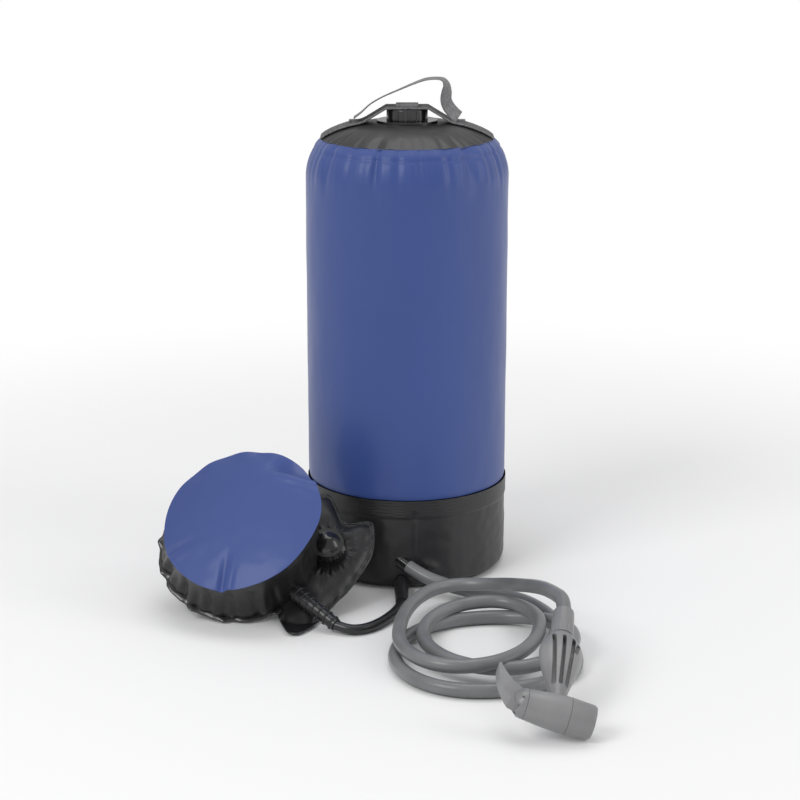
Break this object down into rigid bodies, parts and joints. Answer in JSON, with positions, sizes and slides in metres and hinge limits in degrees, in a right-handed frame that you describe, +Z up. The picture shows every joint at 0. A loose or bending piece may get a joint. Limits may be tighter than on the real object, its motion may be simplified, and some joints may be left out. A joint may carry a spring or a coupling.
{
  "type": "portable pressure shower",
  "caption": "Soft pressure-shower tank with a foot pump, a coiled hose and a hand-held spray head.",
  "frame": {"origin": "centre of the tank's bottom, on the floor", "axes": "+Z up the tank, -Y towards the front where the hoses leave, +X to the tank's right"},
  "size_m": [0.3995, 0.5675, 0.4933],
  "materials": {
    "blue_fabric": "satin coated",
    "black_pvc": "satin",
    "grey_webbing": "woven",
    "black_webbing": "woven",
    "grey_hose": "satin",
    "black_hose": "satin",
    "grey_plastic": "satin",
    "black_plastic": "gloss",
    "seal_rubber": "matte",
    "foam": "open cell",
    "steel": "satin"
  },
  "bodies": {
    "root": {"tank_sleeve": "blue_fabric", "base_cup": "black_pvc", "weld_band": "black_pvc", "top_panel": "black_pvc", "fill_neck": "black_plastic", "top_strap": "black_webbing", "strap_patch": "grey_webbing", "handle_tacks": "grey_webbing", "outlet_spigot": "black_plastic", "air_inlet": "black_plastic", "inlet_check_valve": "seal_rubber", "inlet_cuff": "black_hose", "pump_base": "black_pvc", "pump_skirt": "black_pvc", "pump_foam": "foam", "pump_tab": "black_pvc", "intake_flange": "black_plastic", "intake_flap": "seal_rubber", "outlet_elbow": "black_plastic", "hose_boot": "black_hose", "pump_hose": "black_hose", "shower_hose_tail": "grey_hose", "shower_hose_coil": "grey_hose", "shower_hose_lead": "grey_hose", "handset_body": "grey_plastic", "spray_collar": "grey_plastic", "spray_plate": "grey_plastic", "rear_cap": "grey_plastic", "lever_pin": "steel", "valve_seal": "seal_rubber", "valve_spring": "steel", "hose_nut": "grey_plastic"},
    "fill_cap": {"fill_cap": "black_plastic", "cap_gasket": "seal_rubber"},
    "carry_handle": {"carry_handle": "grey_webbing"},
    "pump_top": {"pump_cover": "blue_fabric", "pump_wall": "black_pvc"},
    "intake_cap": {"intake_collar": "black_plastic", "intake_dome": "black_plastic"},
    "thumb_lever": {"thumb_lever": "grey_plastic"},
    "valve_plunger": {"valve_plunger": "black_plastic"}
  },
  "joints": [
    {"name": "cap_turn", "type": "hinge", "parent": "root", "child": "fill_cap", "pos_m": [0, 0, 0.4585], "axis": [0, 0, 1], "range_deg": [0, 360]},
    {"name": "handle_swing", "type": "hinge", "parent": "root", "child": "carry_handle", "pos_m": [0, 0, 0.45432], "axis": [1, 0, 0], "range_deg": [-55, 55]},
    {"name": "pump_press", "type": "slide", "parent": "root", "child": "pump_top", "axis": [0, 0.6428, -0.766], "range_m": [0, 0.024], "stiffness_N_per_m": 400, "springref_m": -0.02},
    {"name": "intake_cap_turn", "type": "hinge", "parent": "root", "child": "intake_cap", "pos_m": [-0.077, -0.13656, 0.05454], "axis": [0, -0.6428, 0.766], "range_deg": [0, 360]},
    {"name": "lever_press", "type": "hinge", "parent": "root", "child": "thumb_lever", "pos_m": [0.09156, -0.4542, 0.02967], "axis": [-0.2522, 0.3097, -0.9168], "range_deg": [0, 12], "stiffness_Nm_per_rad": 0.05, "springref_deg": -17.19},
    {"name": "plunger_slide", "type": "slide", "parent": "root", "child": "valve_plunger", "axis": [0.9607, -0.0335, -0.2756], "range_m": [0, 0.0017]}
  ],
  "couplings": [
    {"joint": "plunger_slide", "follows": "lever_press", "m_per_rad": 0.0081}
  ]
}
